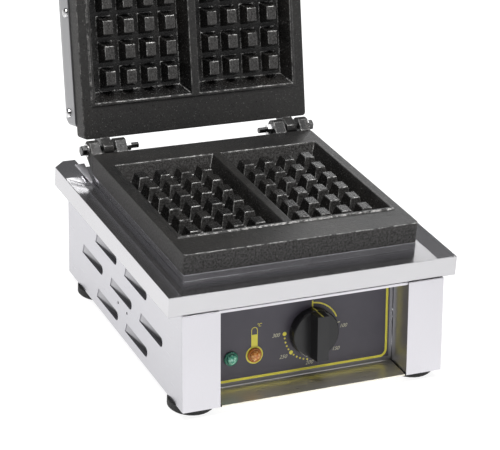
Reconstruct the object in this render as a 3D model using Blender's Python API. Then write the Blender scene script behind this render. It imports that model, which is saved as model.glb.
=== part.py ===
"""A counter-top electric waffle iron with one pair of cast plates, built as separate parts.

Frame: +X is the operator's right, +Y runs to the back, +Z is up. Lengths in this file are in
millimetres and MM turns them into metres. Everything is built with Y measured from the middle
of the drip tray, and then moved by FRAME_SHIFT_Y, so that the origin is on the floor under the
middle of the whole object with its lid open. The lid is built shut, in the frame of its hinge
axis, and then opened by LID_OPEN. The control parts are built in the frame of the sloping
control panel.
"""

from math import cos, pi, radians, sin

import bmesh
import bpy
from mathutils import Matrix, Vector

MM = 0.001
GAP = 0.3  # clearance left between parts that touch in the real object
SHEET = 1.5  # thickness of the pressed stainless sheet
FRAME_SHIFT_Y = -40.1

# Drip tray: a shallow pressed tray with a skirt that overhangs the casing.
TRAY_HALF_WIDTH = 152.5
TRAY_FRONT = -164.0
TRAY_REAR = 164.0
TRAY_TOP = 125.0
TRAY_SKIRT = 20.0
TRAY_BAND_INNER = 136.0  # half distance between the feet of the sloping side bands
TRAY_FLOOR = 121.0
TRAY_FLOOR_REAR = 113.0
TRAY_SLOPE_REAR = 121.0  # where the slope at the floor's back end reaches the top
TRAY_CORNER = 13.0

# Casing: sides and back in one sheet. Its front and back lean by the same small angle.
CASING_HALF_WIDTH = 139.0
CASING_BOTTOM = 8.5
CASING_SHOULDER = TRAY_TOP - TRAY_SKIRT - GAP
CASING_TOP = TRAY_FLOOR - SHEET - GAP
FRONT_AT_BOTTOM = -179.0
FRONT_AT_SHOULDER = -166.0
REAR_AT_BOTTOM = 137.5
REAR_AT_TOP = 149.0
STRIP_INNER = 100.1  # half width of the control recess
RECESS_DEPTH = 31.5

# Louvres in each side: the back end of each slot, and the height of its middle.
LOUVRE_LENGTH = 60.0
LOUVRE_HEIGHT = 10.5
LOUVRE_DEPTH = 6.0  # at the round front end, which is open to the inside of the casing
LOUVRE_SLANT = 3.0
LOUVRES = [
    (63.0, 82.6),
    (-18.5, 82.6),
    (99.5, 54.0),
    (18.5, 54.0),
    (-62.5, 54.0),
    (53.5, 24.5),
    (-26.5, 24.5),
]

RIVET_HOLES = (-5.2, -29.7)  # two small holes between the louvres of the left side

# Cast plates, with two cavities of four by six tapered blocks.
PLATE_HALF_WIDTH = 125.0
PLATE_FRONT = -131.0
PLATE_REAR = 116.0
PLATE_TOP = 150.4
PLATE_THICKNESS = 20.8
PLATE_CORNER = 3.5
UPPER_HALF_WIDTH = 127.3  # the upper plate stands out a little past the lower one
UPPER_REAR = 118.0
LIP_HEIGHT = 1.2  # the raised lip round the cavities, which meets the other plate's lip
LIP_WIDTH = 3.4
CAVITY_INNER = 4.3
CAVITY_OUTER = 113.3
CAVITY_FRONT = -92.0
CAVITY_REAR = 81.5
CAVITY_DEPTH = 15.5  # below the plate's face, without the lip
SIDE_WALL_RUN = 6.5  # how far each sloping cavity wall runs in from top to floor
FRONT_WALL_RUN = 4.0
REAR_WALL_RUN = 9.5
BLOCK_COLUMNS = 4
BLOCK_ROWS = 6
BLOCK_PITCH_X = 23.05
BLOCK_PITCH_Y = 26.5
BLOCK_FIELD_X = 58.4  # distance of each block field's middle from the plate's middle
BLOCK_FIELD_Y = -9.0
BLOCK_RECESS = 1.5  # how far the block tops sit below the plate's face
BLOCK_BASE = (16.0, 21.5)
BLOCK_TOP = (10.4, 14.0)

# Hinge: each side has two lugs on the lower plate and one lug on the upper plate between them.
HINGE_Y = 128.7
HINGE_Z = 150.2
LID_OPEN = 105.0
LUG_RADIUS = 9.6
BOLT_RADIUS = 3.0
BOLT_BORE = 3.08
OUTER_LUG = (114.5, 125.0)
MIDDLE_LUG = (99.5, 110.5)
INNER_LUG = (85.0, 97.0)

# Control panel and what is on it. Positions are X, and the distance up the sloping panel.
PANEL_BOTTOM = 10.3
PANEL_FRONT_AT_BOTTOM = -147.0
PANEL_HALF_WIDTH = 99.7
PANEL_HEIGHT = 94.0
LABEL_HALF_WIDTH = 96.0
LABEL_BOTTOM = 4.6
LABEL_TOP = 92.5
KNOB_AT = (10.5, 44.2)
KNOB_RADIUS = 24.4
GREEN_LAMP_AT = (-76.0, 28.6)
AMBER_LAMP_AT = (-51.0, 28.6)

# Lid cover, handle and feet.
COVER_HALF_WIDTH = 129.0
COVER_FRONT = -137.0
COVER_REAR = 107.5
COVER_HEIGHT = 31.0
COVER_ROUND = 9.0
COVER_FLANGE = 2.2  # the narrow edge turned inwards round the open side
COVER_SCREWS = [(-12.0, 180.9), (94.0, 191.9)]
HANDLE_Y = -178.0
HANDLE_Z = 189.4
ARM_INNER = 73.0
ARM_OUTER = 77.0
FOOT_AT = [(119.0, -151.0), (119.0, 98.0)]
FOOT_RADIUS = 23.0

LID_FACE = PLATE_TOP + 2 * LIP_HEIGHT + GAP  # the upper plate's face with the lid shut
LEAN = (FRONT_AT_SHOULDER - FRONT_AT_BOTTOM) / (CASING_SHOULDER - CASING_BOTTOM)


def clear_scene():
    """Removes everything from the scene that Blender starts with."""
    for obj in list(bpy.data.objects):
        bpy.data.objects.remove(obj, do_unlink=True)


def make_collection(name):
    collection = bpy.data.collections.new(name)
    bpy.context.scene.collection.children.link(collection)
    return collection


clear_scene()
PARTS = make_collection("parts")
CUTTERS = make_collection("cutters")


def material(name, colour, metallic, roughness, alpha=1.0):
    made = bpy.data.materials.new(name)
    made.use_nodes = True
    shader = made.node_tree.nodes["Principled BSDF"]
    shader.inputs["Base Color"].default_value = (*colour, 1.0)
    shader.inputs["Metallic"].default_value = metallic
    shader.inputs["Roughness"].default_value = roughness
    shader.inputs["Alpha"].default_value = alpha
    return made


def finish_object(name, shape, look=None, parent=None, smooth=False):
    """Turns a bmesh in millimetres into an object. With no look it becomes a cutter."""
    bmesh.ops.recalc_face_normals(shape, faces=shape.faces)
    bmesh.ops.scale(shape, vec=(MM, MM, MM), verts=shape.verts)
    for face in shape.faces:
        face.smooth = smooth
    mesh = bpy.data.meshes.new(name)
    shape.to_mesh(mesh)
    shape.free()
    obj = bpy.data.objects.new(name, mesh)
    if look is None:
        CUTTERS.objects.link(obj)
        obj.hide_render = True
        obj.display_type = "WIRE"
    else:
        PARTS.objects.link(obj)
        colour, metallic, roughness = look
        mesh.materials.append(material(name, colour, metallic, roughness))
    obj.parent = parent
    return obj


def combine(obj, other, operation):
    """Adds an exact Boolean to an object, and puts the other object with the cutters."""
    modifier = obj.modifiers.new(operation.lower() + "_" + other.name, "BOOLEAN")
    modifier.operation = operation
    modifier.solver = "EXACT"
    modifier.object = other


def cut(obj, shape, label):
    combine(obj, finish_object(obj.name + "_" + label, shape, parent=obj.parent), "DIFFERENCE")


def join(obj, shape, label):
    combine(obj, finish_object(obj.name + "_" + label, shape, parent=obj.parent), "UNION")


def add_box(shape, low, high):
    """Adds the box between two corners."""
    size = Vector(high) - Vector(low)
    middle = (Vector(high) + Vector(low)) / 2
    place = Matrix.Translation(middle) @ Matrix.Diagonal((*size, 1.0))
    bmesh.ops.create_cube(shape, size=1.0, matrix=place)
    return shape


def box(low, high):
    return add_box(bmesh.new(), low, high)


def add_loft(shape, rings):
    """Adds the closed solid through a list of rings with the same number of points."""
    rows = [[shape.verts.new(point) for point in ring] for ring in rings]
    count = len(rows[0])
    for lower, upper in zip(rows, rows[1:]):
        for i in range(count):
            j = (i + 1) % count
            shape.faces.new((lower[i], lower[j], upper[j], upper[i]))
    shape.faces.new(rows[0])
    shape.faces.new(rows[-1])
    return shape


def rectangle(x, y, z, width, depth):
    """A level rectangular ring round the point (x, y, z)."""
    half_x = width / 2
    half_y = depth / 2
    corners = [(-half_x, -half_y), (half_x, -half_y), (half_x, half_y), (-half_x, half_y)]
    return [(x + dx, y + dy, z) for dx, dy in corners]


def prism_x(shape, outline, x_low, x_high):
    """Extrudes an outline of (y, z) points along X."""
    return add_loft(shape, [[(x, y, z) for y, z in outline] for x in (x_low, x_high)])


def prism_z(shape, outline, z_low, z_high):
    """Extrudes an outline of (x, y) points along Z."""
    return add_loft(shape, [[(x, y, z) for x, y in outline] for z in (z_low, z_high)])


def arc(centre, radius, start, end, steps):
    """Points of an arc in a plane, from start to end degrees."""
    angles = [radians(start + (end - start) * i / steps) for i in range(steps + 1)]
    return [(centre[0] + radius * cos(a), centre[1] + radius * sin(a)) for a in angles]


def turned(shape, profile, segments, place):
    """Adds a closed (radius, height) profile turned about Z, moved to its place by a matrix."""
    piece = bmesh.new()
    verts = [piece.verts.new((radius, 0, height)) for radius, height in profile]
    pairs = list(zip(verts, verts[1:] + verts[:1]))
    edges = [piece.edges.new(pair) for pair in pairs if not on_axis(pair)]
    bmesh.ops.spin(
        piece,
        geom=verts + edges,
        cent=(0, 0, 0),
        axis=(0, 0, 1),
        angle=2 * pi,
        steps=segments,
        use_merge=True,
    )
    bmesh.ops.remove_doubles(piece, verts=piece.verts, dist=0.0005)
    bmesh.ops.transform(piece, matrix=place, verts=piece.verts)
    carrier = bpy.data.meshes.new("turned")
    piece.to_mesh(carrier)
    piece.free()
    shape.from_mesh(carrier)
    bpy.data.meshes.remove(carrier)
    return shape


def on_axis(pair):
    """Whether an edge of a profile lies on the axis, where it would sweep no face."""
    return pair[0].co.x == 0 and pair[1].co.x == 0


def facing(axis, at):
    """A matrix that turns +Z to the given direction and moves the origin to a point."""
    turn = Vector((0, 0, 1)).rotation_difference(Vector(axis)).to_matrix().to_4x4()
    return Matrix.Translation(at) @ turn


def rod(radius, length, axis, at, segments=32):
    """A cylinder that starts at a point and runs along a direction."""
    profile = [(0, 0), (radius, 0), (radius, length), (0, length)]
    return turned(bmesh.new(), profile, segments, facing(axis, at))


def tube(name, points, radius, look, parent=None):
    """A round rod along a smooth path, with closed ends."""
    curve = bpy.data.curves.new(name + "_path", "CURVE")
    curve.dimensions = "3D"
    curve.bevel_depth = radius * MM
    curve.bevel_resolution = 2
    curve.use_fill_caps = True
    line = curve.splines.new("POLY")
    line.points.add(len(points) - 1)
    for target, point in zip(line.points, points):
        target.co = (*(c * MM for c in point), 1.0)
    guide = bpy.data.objects.new(name + "_guide", curve)
    bpy.context.scene.collection.objects.link(guide)
    bpy.context.view_layer.update()
    graph = bpy.context.evaluated_depsgraph_get()
    shape = bmesh.new()
    shape.from_mesh(bpy.data.meshes.new_from_object(guide.evaluated_get(graph)))
    bpy.data.objects.remove(guide, do_unlink=True)
    bmesh.ops.remove_doubles(shape, verts=shape.verts, dist=0.000005)
    bmesh.ops.scale(shape, vec=(1 / MM, 1 / MM, 1 / MM), verts=shape.verts)
    return finish_object(name, shape, look, parent, smooth=True)


def empty(name, at, degrees_about_x):
    """An empty that carries the parts of a moving or sloping group."""
    obj = bpy.data.objects.new(name, None)
    PARTS.objects.link(obj)
    obj.location = Vector(at) * MM
    obj.rotation_euler.x = radians(degrees_about_x)
    return obj


STEEL = ((0.74, 0.74, 0.76), 1.0, 0.32)
BRIGHT_STEEL = ((0.80, 0.80, 0.82), 1.0, 0.2)
DARK_STEEL = ((0.45, 0.45, 0.44), 1.0, 0.35)
IRON = ((0.045, 0.043, 0.045), 0.6, 0.42)
BLACK_PLASTIC = ((0.03, 0.03, 0.032), 0.0, 0.35)
BLACK_RUBBER = ((0.02, 0.02, 0.02), 0.0, 0.7)
SLATE = ((0.07, 0.065, 0.08), 0.0, 0.4)
WOOL = ((0.75, 0.7, 0.55), 0.0, 0.9)


# Drip tray, pedestal and casing


def tray_outline(inset):
    """The tray's outline from above, with its two back corners cut off."""
    side = TRAY_HALF_WIDTH - inset
    back = TRAY_REAR - inset
    corner = TRAY_CORNER - inset / 2
    return [
        (-side, TRAY_FRONT + inset),
        (side, TRAY_FRONT + inset),
        (side, back - corner),
        (side - corner, back),
        (-side + corner, back),
        (-side, back - corner),
    ]


def trough_shape():
    """The cutter of the tray's floor, whose sides and ends slope up to the rim."""
    rings = []
    for half, front, rear, level in (
        (TRAY_BAND_INNER, TRAY_FRONT + 3.5, TRAY_FLOOR_REAR, TRAY_FLOOR),
        (TRAY_HALF_WIDTH - 0.5, TRAY_FRONT + 1.0, TRAY_SLOPE_REAR, TRAY_TOP),
        (TRAY_HALF_WIDTH - 0.5, TRAY_FRONT + 1.0, TRAY_SLOPE_REAR, TRAY_TOP + 5),
    ):
        rings.append(rectangle(0, (front + rear) / 2, level, 2 * half, rear - front))
    return add_loft(bmesh.new(), rings)


def make_tray():
    """The tray: a skirted sheet with sloping side bands round a sunken floor."""
    shell = prism_z(bmesh.new(), tray_outline(0), TRAY_TOP - TRAY_SKIRT, TRAY_TOP)
    tray = finish_object("drip_tray", shell, STEEL)
    under = prism_z(bmesh.new(), tray_outline(SHEET), TRAY_TOP - TRAY_SKIRT - 1, TRAY_FLOOR - SHEET)
    cut(tray, under, "underside")
    cut(tray, trough_shape(), "floor")
    behind = box((-126, 0, TRAY_FLOOR), (126, TRAY_REAR + 5, TRAY_TOP + 5))
    cut(tray, behind, "floor_behind_plate")
    notch = box((-126, TRAY_REAR - 12, TRAY_TOP - TRAY_SKIRT - 5), (126, TRAY_REAR + 5, TRAY_TOP + 5))
    cut(tray, notch, "rear_notch")
    holes = bmesh.new()
    for x, y, radius in ((-24, -104, 5.0), (24, -104, 5.0), (60, -60, 3.0)):
        turned(holes, [(0, 0), (radius, 0), (radius, 20), (0, 20)], 20, Matrix.Translation((x, y, 112)))
    cut(tray, holes, "element_holes")


def make_pedestal():
    """The sheet collar that holds the lower plate above the tray floor."""
    low = TRAY_FLOOR + GAP
    high = PLATE_TOP - PLATE_THICKNESS - GAP
    wall = box((-124.4, PLATE_FRONT + 0.6, low), (124.4, PLATE_REAR - 0.6, high))
    pedestal = finish_object("plate_pedestal", wall, BRIGHT_STEEL)
    inside = box((-121, PLATE_FRONT + 4, low - 5), (121, PLATE_REAR - 4, high + 5))
    cut(pedestal, inside, "inside")


def louvre_outline(back, middle, grow):
    """A slot with a slanting back end and a round front end, in (y, z)."""
    radius = LOUVRE_HEIGHT / 2 + grow
    nose = back - LOUVRE_LENGTH + LOUVRE_HEIGHT / 2
    return [
        (back - LOUVRE_SLANT, middle + radius),
        *arc((nose, middle), radius, 90, 270, 6),
        (back, middle - radius),
    ]


def ramped(shape, outline, side, start, at_nose, at_back):
    """A slot-shaped block whose inner face slopes from one depth to another."""
    nose = min(y for y, _ in outline)
    back = max(y for y, _ in outline)
    outer = [(side * start, y, z) for y, z in outline]
    inner = []
    for y, z in outline:
        depth = at_nose + (at_back - at_nose) * (y - nose) / (back - nose)
        inner.append((side * (CASING_HALF_WIDTH - depth), y, z))
    return add_loft(shape, [outer, inner])


def casing_outline(inset):
    return [
        (FRONT_AT_BOTTOM + SHEET + GAP, CASING_BOTTOM),
        (REAR_AT_BOTTOM - inset, CASING_BOTTOM),
        (REAR_AT_TOP - inset, CASING_TOP),
        (TRAY_FRONT + SHEET + 2.0, CASING_TOP),
        (TRAY_FRONT + SHEET + 2.0, CASING_SHOULDER),
        (FRONT_AT_SHOULDER + SHEET + GAP, CASING_SHOULDER),
    ]


def make_casing():
    """Both sides and the back of the body, with louvres pressed into the sides."""
    block = prism_x(bmesh.new(), casing_outline(0), -CASING_HALF_WIDTH, CASING_HALF_WIDTH)
    casing = finish_object("casing", block, STEEL)
    inner_half = CASING_HALF_WIDTH - SHEET
    hollow = [
        (FRONT_AT_BOTTOM - 5, CASING_BOTTOM - 5),
        (REAR_AT_BOTTOM - SHEET, CASING_BOTTOM - 5),
        (REAR_AT_BOTTOM - SHEET, CASING_BOTTOM),
        (REAR_AT_TOP - SHEET, CASING_TOP),
        (REAR_AT_TOP - SHEET, CASING_TOP + 5),
        (FRONT_AT_BOTTOM - 5, CASING_TOP + 5),
    ]
    cut(casing, prism_x(bmesh.new(), hollow, -inner_half, inner_half), "hollow")
    hoods = bmesh.new()
    pockets = bmesh.new()
    for side in (-1, 1):
        for back, middle in LOUVRES:
            hood = louvre_outline(back + 2.7, middle, 1.2)
            ramped(hoods, hood, side, inner_half + 0.5, LOUVRE_DEPTH + 1.2, SHEET + 1.2)
            pocket = louvre_outline(back, middle, 0)
            ramped(pockets, pocket, side, CASING_HALF_WIDTH + 2, LOUVRE_DEPTH, 0.6)
    join(casing, hoods, "louvre_hoods")
    cut(casing, pockets, "louvre_pockets")
    gland_hole = rod(8.3, 30, (0, 1, 0), (-88, 125, 36), 24)
    cut(casing, gland_hole, "gland_hole")
    rivet_holes = bmesh.new()
    for y in RIVET_HOLES:
        place = facing((-1, 0, 0), (5 - CASING_HALF_WIDTH, y, 40.8))
        turned(rivet_holes, [(0, 0), (1.6, 0), (1.6, 10), (0, 10)], 14, place)
    cut(casing, rivet_holes, "rivet_holes")


def front_line(offset, low, high):
    """The sloping front edge at two heights, moved back by an offset, in (y, z)."""
    return [(FRONT_AT_BOTTOM + LEAN * (z - CASING_BOTTOM) + offset, z) for z in (low, high)]


def make_front_strip(name, side):
    """One of the two front strips: a front face and the return that walls the recess."""
    low = CASING_BOTTOM
    high = CASING_SHOULDER
    face = front_line(0, low, high) + front_line(SHEET, low, high)[::-1]
    ends = sorted((side * STRIP_INNER, side * CASING_HALF_WIDTH))
    strip = finish_object(name, prism_x(bmesh.new(), face, *ends), STEEL)
    wall = front_line(0.4, low, high) + front_line(RECESS_DEPTH, low, high)[::-1]
    ends = sorted((side * STRIP_INNER, side * (STRIP_INNER + SHEET)))
    join(strip, prism_x(bmesh.new(), wall, *ends), "return")


def make_recess_lip():
    """The narrow folded sheet across the top of the control recess."""
    low = CASING_SHOULDER - 2.6
    high = CASING_SHOULDER
    half = STRIP_INNER - GAP
    fold = front_line(1.2, low, high) + front_line(2.7, low, high)[::-1]
    lip = finish_object("recess_lip", prism_x(bmesh.new(), fold, -half, half), BRIGHT_STEEL)
    top = box((-half, FRONT_AT_SHOULDER + 1.8, high - 1.2), (half, -137.2, high))
    join(lip, top, "top")


def make_ledge_and_pan():
    """The ledge along the bottom of the recess, and the pan that closes the body below."""
    half = STRIP_INNER - GAP
    ledge = box((-half, FRONT_AT_BOTTOM + 0.2, CASING_BOTTOM), (half, -147.3, CASING_BOTTOM + SHEET))
    finish_object("recess_ledge", ledge, DARK_STEEL)
    pan_half = CASING_HALF_WIDTH - SHEET - GAP
    pan = box((-pan_half, -145.8, CASING_BOTTOM), (pan_half, 135.5, CASING_BOTTOM + SHEET))
    pan = finish_object("bottom_pan", pan, STEEL)
    for side in (-1, 1):
        ends = sorted((side * (STRIP_INNER + SHEET + GAP), side * pan_half))
        corner = box((ends[0], -175.0, CASING_BOTTOM), (ends[1], -145.0, CASING_BOTTOM + SHEET))
        join(pan, corner, "corner_left" if side < 0 else "corner_right")
    holes = bmesh.new()
    for side in (-1, 1):
        for x, y in FOOT_AT:
            place = Matrix.Translation((side * x, y, CASING_BOTTOM - 3))
            turned(holes, [(0, 0), (2.8, 0), (2.8, 9), (0, 9)], 20, place)
    cut(pan, holes, "foot_screw_holes")


def make_rear_guard(name, side):
    """A tapered tongue that rises beside the plate from the tray's floor towards the hinge."""
    rings = []
    for y, level, width in ((108.0, 122.2, 2.0), (121.0, 127.5, 6.5), (134.0, 132.8, 10.4)):
        near = side * 126.6
        far = side * (126.6 + width)
        low = level - SHEET / 2
        high = level + SHEET / 2
        rings.append([(near, y, low), (far, y, low), (far, y, high), (near, y, high)])
    finish_object(name, add_loft(bmesh.new(), rings), BRIGHT_STEEL)


# Plates


def plate_outline(half_width, rear):
    """A plate from above, with rounded corners."""
    points = []
    for x, y, start in (
        (1, 1, 0),
        (-1, 1, 90),
        (-1, -1, 180),
        (1, -1, 270),
    ):
        centre_x = x * (half_width - PLATE_CORNER)
        edge_y = rear - PLATE_CORNER if y > 0 else PLATE_FRONT + PLATE_CORNER
        points += arc((centre_x, edge_y), PLATE_CORNER, start, start + 90, 4)
    return points


def lug_outline(plate_edge, face, back, rise):
    """A lug: an arc round the hinge axis, run out to the plate's back edge. In (y, z)."""
    turn = arc((HINGE_Y, HINGE_Z), LUG_RADIUS, -70 * rise, 112 * rise, 12)
    return [(plate_edge - 1.5, back), (plate_edge, back), *turn, (plate_edge, face), (plate_edge - 1.5, face)]


def cavity_ring(side, front, rear, run, level):
    """A level ring inside one cavity, with its side walls run in by a given distance."""
    x_low, x_high = sorted((side * (CAVITY_INNER + run), side * (CAVITY_OUTER - run)))
    return [(x_low, front, level), (x_high, front, level), (x_high, rear, level), (x_low, rear, level)]


def cavity_shapes(face, inwards):
    """The cutters of both cavities, which open at the top of the lip."""
    cavities = bmesh.new()
    for side in (-1, 1):
        above = face - inwards * 6
        lip = face - inwards * LIP_HEIGHT
        floor = face + inwards * CAVITY_DEPTH
        rings = [cavity_ring(side, CAVITY_FRONT, CAVITY_REAR, 0, level) for level in (above, lip)]
        foot_front = CAVITY_FRONT + FRONT_WALL_RUN
        foot_rear = CAVITY_REAR - REAR_WALL_RUN
        rings.append(cavity_ring(side, foot_front, foot_rear, SIDE_WALL_RUN, floor))
        add_loft(cavities, rings)
    return cavities


def lip_shape(face, inwards):
    """The pad that becomes the raised lip once the cavities are cut through it."""
    middle_y = (CAVITY_FRONT + CAVITY_REAR) / 2
    width = 2 * (CAVITY_OUTER + LIP_WIDTH)
    depth = CAVITY_REAR - CAVITY_FRONT + 2 * LIP_WIDTH
    levels = (face + inwards * 0.8, face, face - inwards * LIP_HEIGHT)
    insets = (0, 0, 0.5)
    rings = [rectangle(0, middle_y, z, width - 2 * n, depth - 2 * n) for z, n in zip(levels, insets)]
    return add_loft(bmesh.new(), rings)


def block_shapes(face, inwards):
    """All the tapered blocks that stand on the cavity floors."""
    blocks = bmesh.new()
    root = face + inwards * (CAVITY_DEPTH + 0.6)
    top = face + inwards * BLOCK_RECESS
    for side in (-1, 1):
        for column in range(BLOCK_COLUMNS):
            for row in range(BLOCK_ROWS):
                x = side * BLOCK_FIELD_X + (column - (BLOCK_COLUMNS - 1) / 2) * BLOCK_PITCH_X
                y = BLOCK_FIELD_Y + (row - (BLOCK_ROWS - 1) / 2) * BLOCK_PITCH_Y
                add_loft(blocks, [rectangle(x, y, root, *BLOCK_BASE), rectangle(x, y, top, *BLOCK_TOP)])
    return blocks


def add_grid(plate, face, inwards, shift=(0, 0, 0)):
    """Raises the lip on a plate, cuts its cavities and stands the blocks in them."""
    lip = lip_shape(face, inwards)
    cavities = cavity_shapes(face, inwards)
    blocks = block_shapes(face, inwards)
    for shape in (lip, cavities, blocks):
        bmesh.ops.translate(shape, vec=shift, verts=shape.verts)
    join(plate, lip, "lip")
    cut(plate, cavities, "cavities")
    join(plate, blocks, "blocks")


def make_lower_plate():
    """The fixed plate, with two pairs of hinge lugs."""
    bottom = PLATE_TOP - PLATE_THICKNESS
    outline = plate_outline(PLATE_HALF_WIDTH, PLATE_REAR)
    slab = prism_z(bmesh.new(), outline, bottom, PLATE_TOP)
    plate = finish_object("lower_plate", slab, IRON)
    add_grid(plate, PLATE_TOP, -1)
    outline = lug_outline(PLATE_REAR, PLATE_TOP - 0.4, bottom + 2, 1)
    lugs = bmesh.new()
    bores = bmesh.new()
    for side in (-1, 1):
        for ends in (OUTER_LUG, INNER_LUG):
            prism_x(lugs, outline, *sorted((side * ends[0], side * ends[1])))
            place = facing((side, 0, 0), (side * (ends[0] - 3), HINGE_Y, HINGE_Z))
            turned(bores, [(0, 0), (BOLT_BORE, 0), (BOLT_BORE, 18), (0, 18)], 24, place)
    join(plate, lugs, "hinge_lugs")
    cut(plate, bores, "hinge_bores")


def make_upper_plate(lid):
    """The plate in the lid, built shut and measured from the hinge axis."""
    outline = plate_outline(UPPER_HALF_WIDTH, UPPER_REAR)
    slab = prism_z(bmesh.new(), outline, LID_FACE, LID_FACE + PLATE_THICKNESS)
    shift = Vector((0, -HINGE_Y, -HINGE_Z))
    bmesh.ops.translate(slab, vec=shift, verts=slab.verts)
    plate = finish_object("upper_plate", slab, IRON, lid)
    add_grid(plate, LID_FACE, 1, shift)
    ribs = bmesh.new()
    top = LID_FACE + PLATE_THICKNESS
    for side in (-1, 1):
        ends = sorted((side * 116.0, side * 125.0))
        add_box(ribs, (ends[0], -118, top - 1), (ends[1], 103, top + 24))
    outline = lug_outline(UPPER_REAR, LID_FACE + 0.4, top - 2, -1)
    lugs = bmesh.new()
    bores = bmesh.new()
    for side in (-1, 1):
        prism_x(lugs, outline, *sorted((side * MIDDLE_LUG[0], side * MIDDLE_LUG[1])))
        place = facing((side, 0, 0), (side * (MIDDLE_LUG[0] - 3), HINGE_Y, HINGE_Z))
        turned(bores, [(0, 0), (BOLT_BORE, 0), (BOLT_BORE, 18), (0, 18)], 24, place)
        for y, z in COVER_SCREWS:
            place = facing((side, 0, 0), (side * 119.0, y, z))
            turned(bores, [(0, 0), (2.3, 0), (2.3, 20), (0, 20)], 16, place)
    for shape in (ribs, lugs, bores):
        bmesh.ops.translate(shape, vec=shift, verts=shape.verts)
    join(plate, ribs, "side_ribs")
    join(plate, lugs, "hinge_lugs")
    cut(plate, bores, "bores")


def make_hinge_fixings(label, side):
    """The bolt, washer and nut of one hinge."""
    shank_end = 69.5
    head_start = 127.4
    shank = [
        (0, 0),
        (BOLT_RADIUS, 0),
        (BOLT_RADIUS, head_start - shank_end + 0.5),
        (0, head_start - shank_end + 0.5),
    ]
    axis = (side, 0, 0)
    place = facing(axis, (side * shank_end, HINGE_Y, HINGE_Z))
    bolt = finish_object("hinge_bolt_" + label, turned(bmesh.new(), shank, 20, place), BRIGHT_STEEL)
    place = facing(axis, (side * head_start, HINGE_Y, HINGE_Z))
    head = turned(bmesh.new(), [(0, 0), (5.77, 0), (5.77, 4.9), (5.0, 5.6), (0, 5.6)], 6, place)
    join(bolt, head, "head")
    washer = [(BOLT_BORE + 0.1, 0), (7.0, 0), (7.0, 1.8), (BOLT_BORE + 0.1, 1.8)]
    place = facing(axis, (side * (OUTER_LUG[1] + 0.2), HINGE_Y, HINGE_Z))
    finish_object("hinge_washer_" + label, turned(bmesh.new(), washer, 24, place), BRIGHT_STEEL)
    nut = [(BOLT_BORE + 0.05, 0), (5.77, 0), (5.77, 6.0), (BOLT_BORE + 0.05, 6.0)]
    place = facing(axis, (side * (INNER_LUG[0] - 6.2), HINGE_Y, HINGE_Z))
    hexagon = turned(bmesh.new(), [(0, 0), (5.77, 0), (5.77, 6.0), (0, 6.0)], 6, place)
    nut = finish_object("hinge_nut_" + label, hexagon, BRIGHT_STEEL)
    bore = rod(BOLT_BORE + 0.05, 20, axis, (side * (INNER_LUG[0] - 12), HINGE_Y, HINGE_Z), 24)
    cut(nut, bore, "bore")


# Heaters, insulation and wiring


def heater_path(level, lead):
    """A serpentine between two leads that turn away from the plate."""
    points = [(-24, -104, level + lead), (-24, -104, level + lead * 0.15), (-26, -104, level)]
    for x, turn in ((-100, 1), (-66, -1), (-32, 1)):
        start, end = (-104, 84) if turn > 0 else (84, -70)
        points += [(x, start + turn * 8, level), (x, end - turn * 8, level)]
        points += [(x + 5, end, level), (x + 29, end, level)]
    right = [(-x, y, z) for x, y, z in points[::-1]]
    points[-1] = (-6, 84, level)
    right[0] = (6, 84, level)
    return points + right


def make_lower_heater():
    level = TRAY_FLOOR + 4.4
    tube("lower_heater", heater_path(level, -22), 3.4, DARK_STEEL)
    pad = box((-112, -118, 111.0), (112, 104, 118.6))
    pad = finish_object("lower_insulation", pad, WOOL)
    holes = bmesh.new()
    for x, y, radius in ((-24, -104, 6.0), (24, -104, 6.0), (60, -60, 4.0)):
        turned(holes, [(0, 0), (radius, 0), (radius, 20), (0, 20)], 20, Matrix.Translation((x, y, 105)))
    cut(pad, holes, "lead_holes")


def make_upper_heater(lid):
    level = LID_FACE + PLATE_THICKNESS + 4.0
    path = [(x, y - HINGE_Y, z - HINGE_Z) for x, y, z in heater_path(level, 16)]
    tube("upper_heater", path, 3.4, DARK_STEEL, lid)
    low = level + 4.4
    pad = box((-112, -118 - HINGE_Y, low - HINGE_Z), (112, 98 - HINGE_Y, low + 9 - HINGE_Z))
    pad = finish_object("upper_insulation", pad, WOOL, lid)
    holes = bmesh.new()
    for x in (-24, 24):
        place = Matrix.Translation((x, -104 - HINGE_Y, low - 4 - HINGE_Z))
        turned(holes, [(0, 0), (6.0, 0), (6.0, 20), (0, 20)], 20, place)
    cut(pad, holes, "lead_holes")


def make_terminal_block():
    """The mains terminal block on the pan, and the gland that the supply cord enters by."""
    block = box((-112, 84, 10.3), (-64, 102, 26.0))
    block = finish_object("terminal_block", block, ((0.85, 0.83, 0.78), 0.0, 0.5))
    wells = bmesh.new()
    for x in (-104, -88, -72):
        turned(wells, [(0, 0), (3.0, 0), (3.0, 12), (0, 12)], 16, Matrix.Translation((x, 93, 17)))
    cut(block, wells, "screw_wells")
    wall = REAR_AT_BOTTOM + LEAN * (36 - CASING_BOTTOM)
    profile = [(4.5, -13), (7.9, -13), (7.9, 1.3), (11.5, 1.3), (11.5, 6), (8.8, 8.5), (8.8, 17), (4.5, 17)]
    place = facing((0, 1, 0), (-88, wall, 36))
    finish_object("cord_gland", turned(bmesh.new(), profile, 18, place), BLACK_PLASTIC)


# Controls, in the frame of the panel: X across, Z up the slope and -Y out towards the operator


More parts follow.
